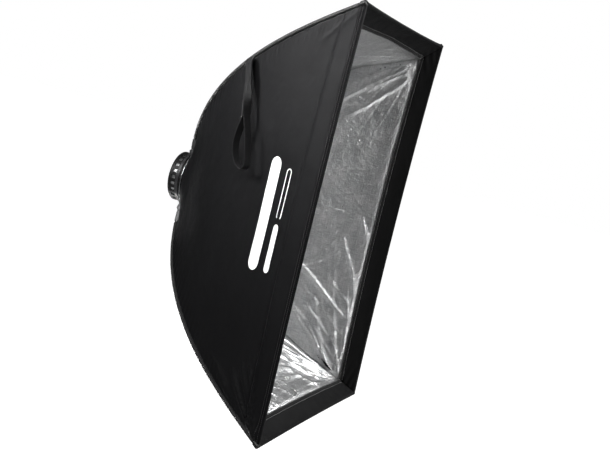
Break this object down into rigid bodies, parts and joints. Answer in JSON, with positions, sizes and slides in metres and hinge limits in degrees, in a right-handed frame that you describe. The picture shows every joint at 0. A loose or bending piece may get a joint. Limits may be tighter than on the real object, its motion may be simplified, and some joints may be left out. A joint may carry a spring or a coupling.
{
  "type": "softbox",
  "caption": "Rectangular quick-fold softbox: black cloth over curved corner rods, silver lining, rotating round mount with a notched grip ring, open front.",
  "frame": {"origin": "centre of the flash-head bore at the rear face of the mount collar", "axes": "+Y along the bore axis to the rear (towards the flash head), +Z along the long side of the opening, +X to the right seen from the rear; the front opening faces -Y"},
  "size_m": [0.6096, 0.4654, 0.9082],
  "materials": {
    "anodised_black": "satin black anodised",
    "rubber_black": "matte rubber",
    "steel_zinc": "zinc plated",
    "alu_satin": "satin",
    "grey_metal": "grey brushed",
    "plastic_black": "fine textured",
    "index_grey": "satin grey",
    "nylon_black": "tight woven nylon, slight sheen",
    "foil_silver": "wrinkled silver foil cloth",
    "band_black": "black brushed cloth with hook-and-loop strip",
    "piping_black": "ribbed binding",
    "webbing_black": "ribbed webbing"
  },
  "bodies": {
    "mount": {"mount_collar": "anodised_black", "collar_liner": "rubber_black", "retaining_ring": "steel_zinc", "collar_screws": "steel_zinc"},
    "grip": {"grip_ring": "plastic_black", "grip_sleeve": "alu_satin"},
    "hub": {"hub_neck": "plastic_black", "index_ring": "index_grey", "hub_plate": "alu_satin", "hub_screws": "steel_zinc", "rod_brackets": "grey_metal", "hinge_pins": "steel_zinc", "fabric_cuff": "nylon_black", "cuff_clamp_ring": "plastic_black"},
    "rod_assembly_ul": {"rod_ul": "steel_zinc", "rod_sleeve_ul": "piping_black", "rod_knuckle_ul": "grey_metal", "tip_cap_ul": "plastic_black", "strap_tab": "webbing_black"},
    "lock_ul": {"lock_slider_ul": "anodised_black"},
    "rod_assembly_ur": {"rod_ur": "steel_zinc", "rod_sleeve_ur": "piping_black", "rod_knuckle_ur": "grey_metal", "tip_cap_ur": "plastic_black"},
    "lock_ur": {"lock_slider_ur": "anodised_black"},
    "rod_assembly_ll": {"rod_ll": "steel_zinc", "rod_sleeve_ll": "piping_black", "rod_knuckle_ll": "grey_metal", "tip_cap_ll": "plastic_black"},
    "lock_ll": {"lock_slider_ll": "anodised_black"},
    "rod_assembly_lr": {"rod_lr": "steel_zinc", "rod_sleeve_lr": "piping_black", "rod_knuckle_lr": "grey_metal", "tip_cap_lr": "plastic_black"},
    "lock_lr": {"lock_slider_lr": "anodised_black"},
    "left_upper": {"left_upper_shell": "nylon_black", "left_upper_lining": "foil_silver", "left_upper_front_band": "band_black"},
    "left_lower": {"left_lower_shell": "nylon_black", "left_lower_lining": "foil_silver", "left_lower_front_band": "band_black"},
    "right_upper": {"right_upper_shell": "nylon_black", "right_upper_lining": "foil_silver", "right_upper_front_band": "band_black"},
    "right_lower": {"right_lower_shell": "nylon_black", "right_lower_lining": "foil_silver", "right_lower_front_band": "band_black"},
    "top_left": {"top_left_shell": "nylon_black", "top_left_lining": "foil_silver", "top_left_front_band": "band_black"},
    "top_right": {"top_right_shell": "nylon_black", "top_right_lining": "foil_silver", "top_right_front_band": "band_black"},
    "bottom_left": {"bottom_left_shell": "nylon_black", "bottom_left_lining": "foil_silver", "bottom_left_front_band": "band_black"},
    "bottom_right": {"bottom_right_shell": "nylon_black", "bottom_right_lining": "foil_silver", "bottom_right_front_band": "band_black"},
    "strap": {"strap_loop": "webbing_black"}
  },
  "joints": [
    {"name": "box_rotation", "type": "hinge", "parent": "mount", "child": "hub", "pos_m": [0, 0, 0], "axis": [0, 1, 0], "continuous": true},
    {"name": "grip_twist", "type": "hinge", "parent": "mount", "child": "grip", "pos_m": [0, -0.011, 0], "axis": [0, 1, 0], "range_deg": [0, 40]},
    {"name": "fold_ul", "type": "hinge", "parent": "hub", "child": "rod_assembly_ul", "pos_m": [-0.04715, -0.045, 0.07072], "axis": [0.8321, 0, 0.5547], "range_deg": [0, 50]},
    {"name": "lock_slide_ul", "type": "slide", "parent": "hub", "child": "lock_ul", "axis": [0.5547, 0, -0.8321], "range_m": [0, 0.004]},
    {"name": "fold_ur", "type": "hinge", "parent": "hub", "child": "rod_assembly_ur", "pos_m": [0.04715, -0.045, 0.07072], "axis": [0.8321, 0, -0.5547], "range_deg": [0, 50]},
    {"name": "lock_slide_ur", "type": "slide", "parent": "hub", "child": "lock_ur", "axis": [-0.5547, 0, -0.8321], "range_m": [0, 0.004]},
    {"name": "fold_ll", "type": "hinge", "parent": "hub", "child": "rod_assembly_ll", "pos_m": [-0.04715, -0.045, -0.07072], "axis": [-0.8321, 0, 0.5547], "range_deg": [0, 50]},
    {"name": "lock_slide_ll", "type": "slide", "parent": "hub", "child": "lock_ll", "axis": [0.5547, 0, 0.8321], "range_m": [0, 0.004]},
    {"name": "fold_lr", "type": "hinge", "parent": "hub", "child": "rod_assembly_lr", "pos_m": [0.04715, -0.045, -0.07072], "axis": [-0.8321, 0, -0.5547], "range_deg": [0, 50]},
    {"name": "lock_slide_lr", "type": "slide", "parent": "hub", "child": "lock_lr", "axis": [-0.5547, 0, 0.8321], "range_m": [0, 0.004]},
    {"name": "pleat_left_upper", "type": "hinge", "parent": "rod_assembly_ul", "child": "left_upper", "pos_m": [-0.04715, -0.045, 0.07072], "axis": [-0.964, 0.17, -0.2046], "range_deg": [0, 42.12], "deforming": ["left_upper_shell", "left_upper_lining", "left_upper_front_band"]},
    {"name": "pleat_left_lower", "type": "hinge", "parent": "rod_assembly_ll", "child": "left_lower", "pos_m": [-0.04715, -0.045, -0.07072], "axis": [0.964, -0.17, -0.2046], "range_deg": [0, 42.12], "deforming": ["left_lower_shell", "left_lower_lining", "left_lower_front_band"]},
    {"name": "pleat_right_upper", "type": "hinge", "parent": "rod_assembly_ur", "child": "right_upper", "pos_m": [0.04715, -0.045, 0.07072], "axis": [-0.964, -0.17, 0.2046], "range_deg": [0, 42.12], "deforming": ["right_upper_shell", "right_upper_lining", "right_upper_front_band"]},
    {"name": "pleat_right_lower", "type": "hinge", "parent": "rod_assembly_lr", "child": "right_lower", "pos_m": [0.04715, -0.045, -0.07072], "axis": [0.964, 0.17, 0.2046], "range_deg": [0, 42.12], "deforming": ["right_lower_shell", "right_lower_lining", "right_lower_front_band"]},
    {"name": "pleat_top_left", "type": "hinge", "parent": "rod_assembly_ul", "child": "top_left", "pos_m": [-0.04715, -0.045, 0.07072], "axis": [-0.2589, -0.2905, -0.9212], "range_deg": [0, 28.1], "deforming": ["top_left_shell", "top_left_lining", "top_left_front_band"]},
    {"name": "pleat_top_right", "type": "hinge", "parent": "rod_assembly_ur", "child": "top_right", "pos_m": [0.04715, -0.045, 0.07072], "axis": [-0.2589, 0.2905, 0.9212], "range_deg": [0, 28.1], "deforming": ["top_right_shell", "top_right_lining", "top_right_front_band"]},
    {"name": "pleat_bottom_left", "type": "hinge", "parent": "rod_assembly_ll", "child": "bottom_left", "pos_m": [-0.04715, -0.045, -0.07072], "axis": [0.2589, 0.2905, -0.9212], "range_deg": [0, 28.1], "deforming": ["bottom_left_shell", "bottom_left_lining", "bottom_left_front_band"]},
    {"name": "pleat_bottom_right", "type": "hinge", "parent": "rod_assembly_lr", "child": "bottom_right", "pos_m": [0.04715, -0.045, -0.07072], "axis": [0.2589, -0.2905, 0.9212], "range_deg": [0, 28.1], "deforming": ["bottom_right_shell", "bottom_right_lining", "bottom_right_front_band"]},
    {"name": "strap_swing", "type": "hinge", "parent": "rod_assembly_ul", "child": "strap", "pos_m": [-0.21483, -0.21105, 0.29096], "axis": [0.4364, 0.8471, -0.3032], "range_deg": [0, 110]}
  ],
  "couplings": [
    {"joint": "fold_ur", "follows": "fold_ul", "ratio": 1},
    {"joint": "fold_ll", "follows": "fold_ul", "ratio": 1},
    {"joint": "fold_lr", "follows": "fold_ul", "ratio": 1},
    {"joint": "pleat_left_upper", "follows": "fold_ul", "ratio": 0.84213},
    {"joint": "pleat_left_lower", "follows": "fold_ul", "ratio": 0.84213},
    {"joint": "pleat_right_upper", "follows": "fold_ul", "ratio": 0.84213},
    {"joint": "pleat_right_lower", "follows": "fold_ul", "ratio": 0.84213},
    {"joint": "pleat_top_left", "follows": "fold_ul", "ratio": 0.56184},
    {"joint": "pleat_top_right", "follows": "fold_ul", "ratio": 0.56184},
    {"joint": "pleat_bottom_left", "follows": "fold_ul", "ratio": 0.56184},
    {"joint": "pleat_bottom_right", "follows": "fold_ul", "ratio": 0.56184}
  ]
}
